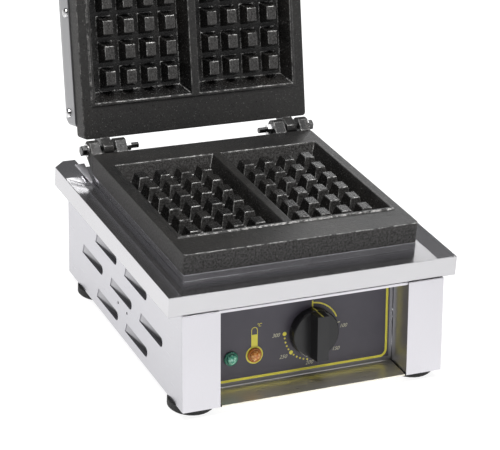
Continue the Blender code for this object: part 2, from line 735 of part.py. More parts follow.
def make_control_panel(panel):
    plate = box((-PANEL_HALF_WIDTH, 0, 0), (PANEL_HALF_WIDTH, SHEET, PANEL_HEIGHT))
    plate = finish_object("control_panel", plate, DARK_STEEL, panel)
    label = box((-LABEL_HALF_WIDTH, -0.6, LABEL_BOTTOM), (LABEL_HALF_WIDTH, -0.1, LABEL_TOP))
    label = finish_object("panel_label", label, SLATE, panel)
    for target in (plate, label):
        holes = bmesh.new()
        for at, radius in ((KNOB_AT, 4.2), (GREEN_LAMP_AT, 6.2), (AMBER_LAMP_AT, 6.2)):
            place = facing((0, 1, 0), (at[0], -4, at[1]))
            turned(holes, [(0, 0), (radius, 0), (radius, 10), (0, 10)], 24, place)
        cut(target, holes, "control_holes")


def make_lamp(name, at, colour, panel):
    """A pilot lamp: a holder with a bezel, and a domed lens in it."""
    place = facing((0, -1, 0), (at[0], 0, at[1]))
    shell = [(4.6, -20), (5.9, -20), (5.9, 0.9), (7.2, 0.9), (7.2, 2.2), (6.4, 3.0), (5.5, 3.0), (4.6, 2.0)]
    finish_object(name + "_lamp_holder", turned(bmesh.new(), shell, 20, place), BLACK_PLASTIC, panel)
    dome = [(0, -6), (4.4, -6), (4.4, 2.3), (5.2, 3.3), (4.9, 4.6), (3.6, 5.8), (1.9, 6.5), (0, 6.7)]
    look = (colour, 0.0, 0.15)
    finish_object(name + "_lamp_lens", turned(bmesh.new(), dome, 20, place), look, panel, smooth=True)


def make_thermostat(panel):
    """The thermostat body behind the panel, and its probe under the lower plate."""
    x, up = KNOB_AT
    body = box((x - 20, SHEET + GAP, up - 17), (x + 20, 34, up + 17))
    body = finish_object("thermostat_body", body, ((0.8, 0.76, 0.66), 0.0, 0.5), panel)
    socket = rod(3.2, 12, (0, 1, 0), (x, -3, up), 24)
    cut(body, socket, "shaft_socket")
    path = [
        (x + 49.5, -106, 44),
        (x + 49.5, -70, 44),
        (x + 49.5, -62, 47),
        (x + 49.5, -60, 54),
        (x + 49.5, -60, 120),
        (x + 49.5, -58, 124),
        (x + 49.5, -52, 125.6),
        (x + 49.5, 40, 125.6),
    ]
    tube("thermostat_probe", path, 1.6, BRIGHT_STEEL)


def make_knob(panel):
    """The knob and the shaft it is pressed on, which turn together about the panel's normal."""
    axis = empty("knob_axis", (0, 0, 0), 0)
    axis.parent = panel
    axis.location = Vector((KNOB_AT[0], 0, KNOB_AT[1])) * MM
    out = facing((0, -1, 0), (0, 0, 0))
    disc = [(0, 1.4), (KNOB_RADIUS, 1.4), (KNOB_RADIUS, 11.0), (KNOB_RADIUS - 1.0, 12.0), (0, 12.0)]
    knob = finish_object("knob", turned(bmesh.new(), disc, 36, out), BLACK_PLASTIC, axis)
    half = KNOB_RADIUS - 0.9
    grip = prism_z(bmesh.new(), [(-6.5, -half), (6.5, -half), (6.5, half), (-6.5, half)], 11.0, 26.0)
    for vert in grip.verts:
        if vert.co.z > 20:
            vert.co.x *= 0.93
            vert.co.y *= 0.97
    bmesh.ops.transform(grip, matrix=out, verts=grip.verts)
    join(knob, grip, "grip")
    cut(knob, rod(3.1, 14, (0, -1, 0), (0, 2, 0), 24), "shaft_bore")
    shaft = rod(3.0, 20, (0, -1, 0), (0, 8.6, 0), 24)
    finish_object("thermostat_shaft", shaft, BRIGHT_STEEL, axis)


# Lid cover and handle, built shut and measured from the hinge axis


def make_cover(lid):
    """The pressed cover over the upper plate."""
    low = LID_FACE + PLATE_THICKNESS + GAP - HINGE_Z
    high = low + COVER_HEIGHT
    front = COVER_FRONT - HINGE_Y
    rear = COVER_REAR - HINGE_Y
    rings = []
    insets = [
        (0, 0, low),
        (0, 0, high - COVER_ROUND),
        (0.5, 2.6, high - 2.6),
        (2.4, COVER_ROUND, high),
    ]
    for side_inset, end_inset, level in insets:
        half = COVER_HALF_WIDTH - side_inset
        corner = 4.0
        outline = arc((half - corner, rear - end_inset - corner), corner, 0, 90, 3)
        outline += arc((corner - half, rear - end_inset - corner), corner, 90, 180, 3)
        outline += arc((corner - half, front + end_inset + corner), corner, 180, 270, 3)
        outline += arc((half - corner, front + end_inset + corner), corner, 270, 360, 3)
        rings.append([(x, y, level) for x, y in outline])
    cover = finish_object("lid_cover", add_loft(bmesh.new(), rings), STEEL, lid)
    half = COVER_HALF_WIDTH - SHEET
    levels = [
        (COVER_FLANGE, low - 5),
        (COVER_FLANGE, low + SHEET),
        (0, low + SHEET),
        (0, high - COVER_ROUND),
        (COVER_ROUND, high - SHEET),
    ]
    rings = []
    for inset, level in levels:
        depth = rear - front - 2 * (SHEET + inset)
        rings.append(rectangle(0, (front + rear) / 2, level, 2 * (half - inset), depth))
    cut(cover, add_loft(bmesh.new(), rings), "hollow")
    holes = bmesh.new()
    for side in (-1, 1):
        for y, z in COVER_SCREWS:
            place = facing((side, 0, 0), (side * 124, y - HINGE_Y, z - HINGE_Z))
            turned(holes, [(0, 0), (2.4, 0), (2.4, 10), (0, 10)], 16, place)
        place = facing((0, -1, 0), (side * 87, front + 5, HANDLE_Z - HINGE_Z))
        turned(holes, [(0, 0), (3.2, 0), (3.2, 10), (0, 10)], 16, place)
    cut(cover, holes, "screw_holes")


def make_cover_screws(lid):
    """Dome-headed screws through the cover's sides into the plate's ribs."""
    profile = [(0, -8.2), (2.0, -8.2), (2.0, 0.1), (5.2, 0.1), (4.8, 1.5), (3.5, 2.6), (1.8, 3.1), (0, 3.2)]
    for label, side in (("left", -1), ("right", 1)):
        for index, (y, z) in enumerate(COVER_SCREWS):
            place = facing((side, 0, 0), (side * (COVER_HALF_WIDTH + 0.1), y - HINGE_Y, z - HINGE_Z))
            end = "front" if index == 0 else "rear"
            screw = turned(bmesh.new(), profile, 14, place)
            finish_object("cover_screw_" + label + "_" + end, screw, BRIGHT_STEEL, lid)


def make_handle(lid):
    """Two flat arms on the cover's front, with a round grip between them."""
    front = COVER_FRONT - HINGE_Y - 0.2
    tip = HANDLE_Y - HINGE_Y - 10
    level = HANDLE_Z - HINGE_Z
    for label, side in (("left", -1), ("right", 1)):
        outline = [
            (ARM_INNER, tip),
            (ARM_OUTER, tip),
            (ARM_OUTER, front - 4),
            (98.0, front - 4),
            (98.0, front),
            (ARM_INNER, front),
        ]
        outline = [(side * x, y) for x, y in outline]
        arm = prism_z(bmesh.new(), outline, level - 9, level + 9)
        arm = finish_object("handle_arm_" + label, arm, BRIGHT_STEEL, lid)
        holes = rod(3.2, 12, (side, 0, 0), (side * (ARM_INNER - 4), HANDLE_Y - HINGE_Y, level), 20)
        place = facing((0, -1, 0), (side * 87, front + 4, level))
        turned(holes, [(0, 0), (3.2, 0), (3.2, 14), (0, 14)], 20, place)
        cut(arm, holes, "holes")
        profile = [(0, -12), (3.0, -12), (3.0, 0.1), (6.2, 0.1), (6.0, 2.4), (4.6, 3.6), (0, 3.8)]
        place = facing((side, 0, 0), (side * (ARM_OUTER + 0.1), HANDLE_Y - HINGE_Y, level))
        bolt = turned(bmesh.new(), profile, 14, place)
        finish_object("grip_bolt_" + label, bolt, BRIGHT_STEEL, lid)
        profile = [(0, -9), (3.0, -9), (3.0, 0.1), (6.2, 0.1), (6.0, 2.4), (4.6, 3.6), (0, 3.8)]
        place = facing((0, -1, 0), (side * 87, front - 4.1, level))
        screw = turned(bmesh.new(), profile, 14, place)
        finish_object("arm_screw_" + label, screw, BRIGHT_STEEL, lid)
    half = ARM_INNER - 0.3
    profile = [(3.2, -half), (11.0, -half), (12.8, -half + 4), (13.4, 0), (12.8, half - 4), (11.0, half), (3.2, half)]
    grip = turned(bmesh.new(), profile, 20, facing((1, 0, 0), (0, HANDLE_Y - HINGE_Y, level)))
    finish_object("grip", grip, BLACK_PLASTIC, lid, smooth=True)


def make_feet():
    """Four rubber feet, each held by a screw from below."""
    names = [("left", -1), ("right", 1)]
    foot = [(2.8, 4.6), (6.0, 4.6), (6.0, 0), (21.5, 0), (FOOT_RADIUS, 1.5), (FOOT_RADIUS, 8.2), (2.8, 8.2)]
    screw = [(0, 1.6), (4.4, 1.6), (5.4, 2.6), (5.4, 4.3), (2.5, 4.3), (2.5, 16), (0, 16)]
    for label, side in names:
        for index, (x, y) in enumerate(FOOT_AT):
            end = "front" if index == 0 else "rear"
            place = Matrix.Translation((side * x, y, 0))
            rubber = turned(bmesh.new(), foot, 28, place)
            finish_object("foot_" + end + "_" + label, rubber, BLACK_RUBBER)
            steel = turned(bmesh.new(), screw, 14, place)
            finish_object("foot_screw_" + end + "_" + label, steel, BRIGHT_STEEL)


def main():
    lid = empty("lid_axis", (0, HINGE_Y, HINGE_Z), -LID_OPEN)
    panel_lean = -7.69
    panel = empty("panel_frame", (0, PANEL_FRONT_AT_BOTTOM, PANEL_BOTTOM), panel_lean)
    make_tray()
    make_pedestal()
    make_casing()
    make_front_strip("front_strip_left", -1)
    make_front_strip("front_strip_right", 1)
    make_recess_lip()
    make_ledge_and_pan()
    make_rear_guard("rear_guard_left", -1)
    make_rear_guard("rear_guard_right", 1)
    make_feet()
    make_lower_plate()
    make_lower_heater()
    make_terminal_block()
    make_control_panel(panel)
    make_lamp("green", GREEN_LAMP_AT, (0.1, 0.55, 0.3), panel)
    make_lamp("amber", AMBER_LAMP_AT, (0.9, 0.35, 0.05), panel)
    make_thermostat(panel)
    make_knob(panel)
    make_upper_plate(lid)
    make_upper_heater(lid)
    make_cover(lid)
    make_cover_screws(lid)
    make_handle(lid)
    make_hinge_fixings("left", -1)
    make_hinge_fixings("right", 1)
    for obj in bpy.data.objects:
        if obj.parent is None:
            obj.location.y += FRAME_SHIFT_Y * MM


main()
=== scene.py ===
"""The looks of a counter-top waffle iron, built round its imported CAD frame.

Lengths are in metres, in the frame of the CAD parts: +X is the operator's right, +Y runs to the
back and +Z is up, with the lid open. The CAD nodes stay where they are. They get procedural
materials, and some get softened edges. The printing on the control label and the line on the
knob are new pieces, laid out in millimetres on the sloping control panel.
"""

from math import cos, pi, radians, sin

import bmesh
import bpy
from mathutils import Matrix, Vector


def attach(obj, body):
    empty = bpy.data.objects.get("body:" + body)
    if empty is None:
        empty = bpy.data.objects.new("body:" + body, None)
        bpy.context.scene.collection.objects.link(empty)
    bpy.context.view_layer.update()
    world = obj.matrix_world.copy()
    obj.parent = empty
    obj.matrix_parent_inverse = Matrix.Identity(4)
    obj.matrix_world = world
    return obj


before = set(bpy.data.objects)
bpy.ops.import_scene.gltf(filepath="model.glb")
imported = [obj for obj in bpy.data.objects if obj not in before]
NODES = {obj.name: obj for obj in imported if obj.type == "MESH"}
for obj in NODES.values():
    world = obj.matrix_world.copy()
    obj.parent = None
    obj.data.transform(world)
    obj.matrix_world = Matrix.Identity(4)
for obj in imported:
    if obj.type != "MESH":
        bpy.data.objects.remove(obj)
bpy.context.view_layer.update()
MM = 0.001

ACROSS = (1, 0, 0)
TO_OPERATOR = (0, -1, 0)
UPWARDS = (0, 0, 1)


# Camera, light and floor

CAMERA_AT = (-0.8344, -1.7718, 1.0007)
CAMERA_AZIMUTH = 25.85
CAMERA_ELEVATION = 24.96
CAMERA_ROLL = 3.85
CAMERA_LENS = 149.76


def make_camera():
    azimuth = radians(CAMERA_AZIMUTH)
    elevation = radians(CAMERA_ELEVATION)
    roll = radians(CAMERA_ROLL)
    forward = Vector((sin(azimuth) * cos(elevation), cos(azimuth) * cos(elevation), -sin(elevation)))
    level = Vector((cos(azimuth), -sin(azimuth), 0))
    above = level.cross(forward)
    right = cos(roll) * level + sin(roll) * above
    up = cos(roll) * above - sin(roll) * level
    turn = Matrix((right, up, -forward)).transposed().to_4x4()
    data = bpy.data.cameras.new("camera")
    data.lens = CAMERA_LENS
    data.sensor_width = 36.0
    camera = bpy.data.objects.new("camera", data)
    camera.matrix_world = Matrix.Translation(CAMERA_AT) @ turn
    bpy.context.scene.collection.objects.link(camera)
    bpy.context.scene.camera = camera


def area_light(name, at, aim, size, power):
    data = bpy.data.lights.new(name, "AREA")
    data.shape = "RECTANGLE"
    data.size, data.size_y = size
    data.energy = power
    lamp = bpy.data.objects.new(name, data)
    lamp.location = at
    lamp.rotation_mode = "QUATERNION"
    lamp.rotation_quaternion = (Vector(aim) - Vector(at)).to_track_quat("-Z", "Y")
    bpy.context.scene.collection.objects.link(lamp)


def make_world():
    """A studio that is bright at the horizon and dim above it."""
    world = bpy.data.worlds.new("studio")
    world.use_nodes = True
    tree = world.node_tree
    direction = tree.nodes.new("ShaderNodeTexCoord").outputs["Generated"]
    height = map_range(tree, along(tree, direction, UPWARDS), (0.02, 0.20))
    shade = ramp(tree, height, [(0.0, (0.85, 0.85, 0.86)), (1.0, (0.13, 0.13, 0.134))])
    tree.links.new(shade, tree.nodes["Background"].inputs["Color"])
    bpy.context.scene.world = world


def make_floor():
    mesh = bpy.data.meshes.new("floor")
    shape = bmesh.new()
    bmesh.ops.create_grid(shape, x_segments=1, y_segments=1, size=6.0)
    shape.to_mesh(mesh)
    shape.free()
    floor = bpy.data.objects.new("floor", mesh)
    bpy.context.scene.collection.objects.link(floor)
    made, _, shader = start_material("pale_floor", 0.0, 0.9)
    shader.inputs["Base Color"].default_value = (0.25, 0.25, 0.25, 1)
    shader.inputs["Specular IOR Level"].default_value = 0.0
    shader.inputs["Emission Color"].default_value = (1, 1, 1, 1)
    shader.inputs["Emission Strength"].default_value = 0.9
    mesh.materials.append(made)


def make_studio():
    bpy.context.scene.view_settings.view_transform = "Standard"
    make_world()
    make_floor()
    area_light("top_softbox", (0.3, 0.1, 2.3), (0, 0, 0.1), (2.2, 2.2), 42)
    area_light("glint_strip", (-0.2, -0.25, 1.5), (0, 0, 0.2), (1.4, 0.12), 22)
    area_light("back_softbox", (1.7, 2.35, 1.08), (0.1, 0, 0.15), (1.2, 0.5), 8)


# Material nodes


def start_material(name, metallic, roughness):
    """A new material with its node tree and its shader."""
    made = bpy.data.materials.new(name)
    made.use_nodes = True
    shader = made.node_tree.nodes["Principled BSDF"]
    shader.inputs["Metallic"].default_value = metallic
    shader.inputs["Roughness"].default_value = roughness
    return made, made.node_tree, shader


def place_of(tree, scale=(1, 1, 1)):
    """The position on the object, stretched along its axes."""
    source = tree.nodes.new("ShaderNodeTexCoord")
    mapping = tree.nodes.new("ShaderNodeMapping")
    mapping.inputs["Scale"].default_value = scale
    tree.links.new(source.outputs["Object"], mapping.inputs["Vector"])
    return mapping.outputs["Vector"]


def noise(tree, vector, scale, detail=3.0, roughness=0.55):
    node = tree.nodes.new("ShaderNodeTexNoise")
    node.inputs["Scale"].default_value = scale
    node.inputs["Detail"].default_value = detail
    node.inputs["Roughness"].default_value = roughness
    tree.links.new(vector, node.inputs["Vector"])
    return node.outputs["Fac"]


def cells(tree, vector, scale):
    node = tree.nodes.new("ShaderNodeTexVoronoi")
    node.inputs["Scale"].default_value = scale
    tree.links.new(vector, node.inputs["Vector"])
    return node.outputs["Distance"]


def ramp(tree, factor, stops):
    """Colours along a factor, from a list of (position, colour)."""
    node = tree.nodes.new("ShaderNodeValToRGB")
    elements = node.color_ramp.elements
    while len(elements) < len(stops):
        elements.new(0.5)
    for element, (position, colour) in zip(elements, stops):
        element.position = position
        element.color = (*colour, 1)
    tree.links.new(factor, node.inputs["Fac"])
    return node.outputs["Color"]


def map_range(tree, value, source, target=(0.0, 1.0)):
    """A value carried from one range to another, and held at the ends of it."""
    node = tree.nodes.new("ShaderNodeMapRange")
    node.inputs["From Min"].default_value = source[0]
    node.inputs["From Max"].default_value = source[1]
    node.inputs["To Min"].default_value = target[0]
    node.inputs["To Max"].default_value = target[1]
    tree.links.new(value, node.inputs["Value"])
    return node.outputs["Result"]


def math(tree, operation, first, second=None):
    """A math node on sockets or plain numbers."""
    node = tree.nodes.new("ShaderNodeMath")
    node.operation = operation
    for socket, value in zip(node.inputs, (first, second)):
        if value is None:
            continue
        if isinstance(value, (int, float)):
            socket.default_value = value
        else:
            tree.links.new(value, socket)
    return node.outputs["Value"]


def blended(tree, factor, first, second):
    """A number between two number sockets."""
    node = tree.nodes.new("ShaderNodeMix")
    tree.links.new(factor, node.inputs["Factor"])
    tree.links.new(first, node.inputs["A"])
    tree.links.new(second, node.inputs["B"])
    return node.outputs["Result"]


def along(tree, vector, direction):
    """How far a vector goes along a fixed direction."""
    node = tree.nodes.new("ShaderNodeVectorMath")
    node.operation = "DOT_PRODUCT"
    tree.links.new(vector, node.inputs[0])
    node.inputs[1].default_value = direction
    return node.outputs["Value"]


def mixed(tree, factor, first, second):
    """A mix of two colours, each a socket or a plain colour."""
    node = tree.nodes.new("ShaderNodeMix")
    node.data_type = "RGBA"
    tree.links.new(factor, node.inputs["Factor"])
    for key, value in (("A", first), ("B", second)):
        socket = next(s for s in node.inputs if s.name == key and s.type == "RGBA")
        if isinstance(value, tuple):
            socket.default_value = (*value, 1)
        else:
            tree.links.new(value, socket)
    return next(s for s in node.outputs if s.type == "RGBA")


def rounded(tree, radius):
    """The surface direction with its edges rounded over a radius."""
    node = tree.nodes.new("ShaderNodeBevel")
    node.samples = 6
    node.inputs["Radius"].default_value = radius
    return node.outputs["Normal"]


def bumped(tree, shader, height, strength, distance, under=None):
    """Gives a shader small bumps, on top of another surface direction if there is one."""
    node = tree.nodes.new("ShaderNodeBump")
    node.inputs["Strength"].default_value = strength
    node.inputs["Distance"].default_value = distance
    tree.links.new(height, node.inputs["Height"])
    if under is not None:
        tree.links.new(under, node.inputs["Normal"])
    tree.links.new(node.outputs["Normal"], shader.inputs["Normal"])


# Materials

# How far out sideways from the middle of the object
LEDGE_GAP_FROM = 0.0987
LOUVRE_MOUTH = 0.1388
LOUVRE_BOTTOM = 0.1335
IN_LOUVRES_TO = 0.13885
PLATE_SIDE_FROM = 0.121

# The way each plate's face looks, how far along it that face is, the way from the hinge to the
# front edge, and how far along it the outer side starts
LOWER_FACE, LOWER_FACE_AT = UPWARDS, 0.1504
LOWER_FRONT, LOWER_FRONT_AT = TO_OPERATOR, 0.15
UPPER_FACE, UPPER_FACE_AT = (0, -0.96593, 0.25882), -0.0496
UPPER_FRONT, UPPER_FRONT_AT = (0, 0.25882, 0.96593), 0.41
LUGS_BEHIND = -0.077  # along TO_OPERATOR: the lower plate's hinge lugs are past this

# Heights over a plate's face, and the rounding of its edges
RIM_FROM = -0.0006
BLOCK_TOPS_AT = -0.0015
BLOCK_TOPS_WITHIN = 0.0003
IRON_EDGE = 0.0019

GLINT_LIGHT_FACING = (-0.12, -0.70, 0.70)  # the way that the edges with the brightest painted highlights face


def brushed_steel(name, light, dark, brush, rough, depth=0.00004, edge=0.0003):
    """Stainless sheet with brush lines and faint cloudy marks.

    depth is how deep the brush lines are, and edge is the radius that its edges are rounded to.
    """
    made, tree, shader = start_material(name, 1.0, 0.25)
    lines = noise(tree, place_of(tree, brush), 1.0, 4.0, 0.6)
    clouds = noise(tree, place_of(tree), 9.0, 3.0)
    both = math(tree, "ADD", math(tree, "MULTIPLY", lines, 0.45), math(tree, "MULTIPLY", clouds, 0.55))
    tree.links.new(ramp(tree, both, [(0.3, dark), (0.7, light)]), shader.inputs["Base Color"])
    tree.links.new(map_range(tree, lines, (0.25, 0.75), rough), shader.inputs["Roughness"])
    bumped(tree, shader, lines, 0.12, depth, rounded(tree, edge))
    return made


def darken(made, mask, colour):
    """Brings a finished material's colour down to another one where the mask is high."""
    target = made.node_tree.nodes["Principled BSDF"].inputs["Base Color"]
    plain = target.links[0].from_socket
    made.node_tree.links.new(mixed(made.node_tree, mask, plain, colour), target)


def casing_steel():
    """Satin sheet for the casing, with painted shade down in the louvres, darker the deeper they go.
    """
    light, dark = (0.555, 0.55, 0.575), (0.52, 0.515, 0.545)
    made = brushed_steel("casing_steel", light, dark, (1500, 30, 1500), (0.26, 0.36))
    tree = made.node_tree
    out = math(tree, "ABSOLUTE", along(tree, place_of(tree), ACROSS))
    louvre_shade_depth = map_range(tree, out, (LOUVRE_MOUTH, LOUVRE_BOTTOM), (0.30, 1.0))
    below = math(tree, "LESS_THAN", out, IN_LOUVRES_TO)
    facing = tree.nodes.new("ShaderNodeNewGeometry").outputs["Normal"]
    sideways = math(tree, "GREATER_THAN", math(tree, "ABSOLUTE", along(tree, facing, ACROSS)), 0.8)
    mask = math(tree, "MULTIPLY", math(tree, "MULTIPLY", below, sideways), louvre_shade_depth)
    # Painted shade: the louvre walls are darkened more the deeper they sit, in place of the shadow in
    # the pockets.
    darken(made, mask, (0.15, 0.15, 0.153))
    return made


def ledge_steel():
    """Sheet for the ledge of the control recess, with near-black painted shade standing in for the
    dark gap at each end of it.
    """
    light, dark = (0.95, 0.92, 0.82), (0.80, 0.77, 0.66)
    made = brushed_steel("recess_steel", light, dark, (25, 1400, 1400), (0.26, 0.42))
    tree = made.node_tree
    out = math(tree, "ABSOLUTE", along(tree, place_of(tree), ACROSS))
    # Painted shade: past the gap line the ledge is made near black, in place of the shadow in the gap.
    darken(made, math(tree, "GREATER_THAN", out, LEDGE_GAP_FROM), (0.012, 0.012, 0.012))
    return made


def glints(tree, soft_edge):
    """A mask of painted highlight on the rounded edges that face the light, broken up along their
    length.
    """
    true_normal = tree.nodes.new("ShaderNodeNewGeometry").outputs["True Normal"]
    turn = tree.nodes.new("ShaderNodeVectorMath")
    turn.operation = "DOT_PRODUCT"
    tree.links.new(soft_edge, turn.inputs[0])
    tree.links.new(true_normal, turn.inputs[1])
    edge = map_range(tree, turn.outputs["Value"], (0.99, 0.93))
    lit = map_range(tree, along(tree, soft_edge, GLINT_LIGHT_FACING), (0.70, 0.92))
    broken = map_range(tree, noise(tree, place_of(tree), 190.0, 3.0, 0.7), (0.42, 0.68))
    return math(tree, "MULTIPLY", math(tree, "MULTIPLY", edge, lit), broken)


def lit_and_worn_block_tops(tree, height, at_rim, facing_out):
    """A mask for the lighter grey on the tops of the blocks, partly wear and partly painted light, and
    less of it for the rim.
    """
    off_top = math(tree, "ABSOLUTE", math(tree, "SUBTRACT", height, BLOCK_TOPS_AT))
    at_top = math(tree, "LESS_THAN", off_top, BLOCK_TOPS_WITHIN)
    tops = math(tree, "MULTIPLY", at_top, 0.9)
    level = math(tree, "MAXIMUM", tops, math(tree, "MULTIPLY", at_rim, 0.35))
    return math(tree, "MULTIPLY", level, facing_out)


def lit_front_faces(tree, place, normal):
    """A mask of painted light for the faces that look at the operator, except on the hinge lugs."""
    forward = map_range(tree, along(tree, normal, TO_OPERATOR), (0.7, 0.9))
    before_lugs = math(tree, "GREATER_THAN", along(tree, place, TO_OPERATOR), LUGS_BEHIND)
    return math(tree, "MULTIPLY", forward, before_lugs)


def cast_iron(name, outwards, face, forwards, front, lit_and_worn_tops):
    """Seasoned cast iron, glossy with oil on the cooking side and sandy on its outer sides.

    outwards is the direction that the plate's face looks in, and face is how far along it that
    face is. forwards points from the hinge to the front edge, and front is how far along it the
    outer side starts. With the last flag set, the block tops, and the rim a little, get a lighter
    grey that is partly wear and partly painted light; without it, the faces that look at the
    operator get the lighter grey as painted light from the front.
    """
    made, tree, shader = start_material(name, 0.0, 0.4)
    source = tree.nodes.new("ShaderNodeTexCoord")
    place = source.outputs["Object"]
    normal = source.outputs["Normal"]
    facing_out = map_range(tree, along(tree, normal, outwards), (0.75, 0.95))
    height = math(tree, "SUBTRACT", along(tree, place, outwards), face)
    at_rim = math(tree, "GREATER_THAN", height, RIM_FROM)
    sideways = math(tree, "ABSOLUTE", along(tree, place, ACROSS))
    at_side = math(tree, "GREATER_THAN", sideways, PLATE_SIDE_FROM)
    at_front = math(tree, "GREATER_THAN", along(tree, place, forwards), front)
    outer = math(tree, "MAXIMUM", at_side, at_front)
    sandy = math(tree, "MULTIPLY", outer, math(tree, "SUBTRACT", 1.0, facing_out))
    if lit_and_worn_tops:
        wear_and_light = lit_and_worn_block_tops(tree, height, at_rim, facing_out)
    else:
        wear_and_light = lit_front_faces(tree, place, normal)

    grain = noise(tree, place_of(tree), 480.0, 3.0, 0.7)
    specks = noise(tree, place_of(tree), 900.0, 1.0, 0.5)
    patches = noise(tree, place_of(tree), 22.0, 4.0, 0.55)
    oily = ramp(tree, patches, [(0.35, (0.005, 0.005, 0.005)), (0.68, (0.013, 0.012, 0.011))])
    grey = ramp(tree, grain, [(0.35, (0.024, 0.023, 0.022)), (0.7, (0.060, 0.058, 0.056))])
    sand = ramp(tree, grain, [(0.35, (0.022, 0.021, 0.020)), (0.68, (0.105, 0.102, 0.100))])
    # The lighter grey is painted light, and on the upper plate's block tops partly wear as well.
    base = mixed(tree, sandy, mixed(tree, wear_and_light, oily, grey), sand)
    base = mixed(tree, map_range(tree, specks, (0.68, 0.76), (0.0, 0.45)), base, (0.30, 0.29, 0.28))
    soft_edge = rounded(tree, IRON_EDGE)
    # Painted highlight: a pale colour on the rounded edges that face up and towards the operator,
    # where the light would catch them.
    base = mixed(tree, glints(tree, soft_edge), base, (0.80, 0.79, 0.77))
    tree.links.new(base, shader.inputs["Base Color"])

    in_cavity = map_range(tree, grain, (0.3, 0.7), (0.16, 0.38))
    on_rim = map_range(tree, grain, (0.3, 0.7), (0.26, 0.46))
    on_sand = map_range(tree, grain, (0.3, 0.7), (0.5, 0.8))
    oiled = blended(tree, at_rim, in_cavity, on_rim)
    tree.links.new(blended(tree, sandy, oiled, on_sand), shader.inputs["Roughness"])
    shine = map_range(tree, sandy, (0.0, 1.0), (0.42, 0.25))
    tree.links.new(shine, shader.inputs["Specular IOR Level"])
    bumped(tree, shader, grain, 0.6, 0.0006, soft_edge)
    return made


def bright_metal(name, light, dark, rough):
    """Plated screws, washers and nuts, with a little tarnish."""
    made, tree, shader = start_material(name, 1.0, 0.2)
    tarnish = noise(tree, place_of(tree), 260.0, 4.0)
    tree.links.new(ramp(tree, tarnish, [(0.35, dark), (0.62, light)]), shader.inputs["Base Color"])
    tree.links.new(map_range(tree, tarnish, (0.3, 0.7), rough), shader.inputs["Roughness"])
    bumped(tree, shader, tarnish, 0.1, 0.0001)
    return made


def moulded(name, light, dark, rough, texture, depth):
    """Moulded plastic or rubber with a fine surface texture."""
    made, tree, shader = start_material(name, 0.0, 0.4)
    fine = noise(tree, place_of(tree), texture, 3.0, 0.6)
    broad = noise(tree, place_of(tree), 35.0, 3.0)
    tree.links.new(ramp(tree, broad, [(0.3, dark), (0.7, light)]), shader.inputs["Base Color"])
    tree.links.new(map_range(tree, fine, (0.3, 0.7), rough), shader.inputs["Roughness"])
    bumped(tree, shader, fine, 0.3, depth)
    return made


def lens(name, light, dark):
    """A faceted pilot lens that is brighter in its middle."""
    made, tree, shader = start_material(name, 0.0, 0.12)
    facets = cells(tree, place_of(tree), 420.0)
    tree.links.new(ramp(tree, facets, [(0.1, light), (0.75, dark)]), shader.inputs["Base Color"])
    bumped(tree, shader, facets, 0.5, 0.0006)
    shader.inputs["Coat Weight"].default_value = 0.6
    shader.inputs["Coat Roughness"].default_value = 0.08
    return made


def fibres(name, light, dark):
    """Pressed mineral wool."""
    made, tree, shader = start_material(name, 0.0, 0.95)
    strands = noise(tree, place_of(tree, (900, 250, 900)), 1.0, 5.0, 0.7)
    tree.links.new(ramp(tree, strands, [(0.3, dark), (0.7, light)]), shader.inputs["Base Color"])
    bumped(tree, shader, strands, 0.6, 0.0008)
    return made


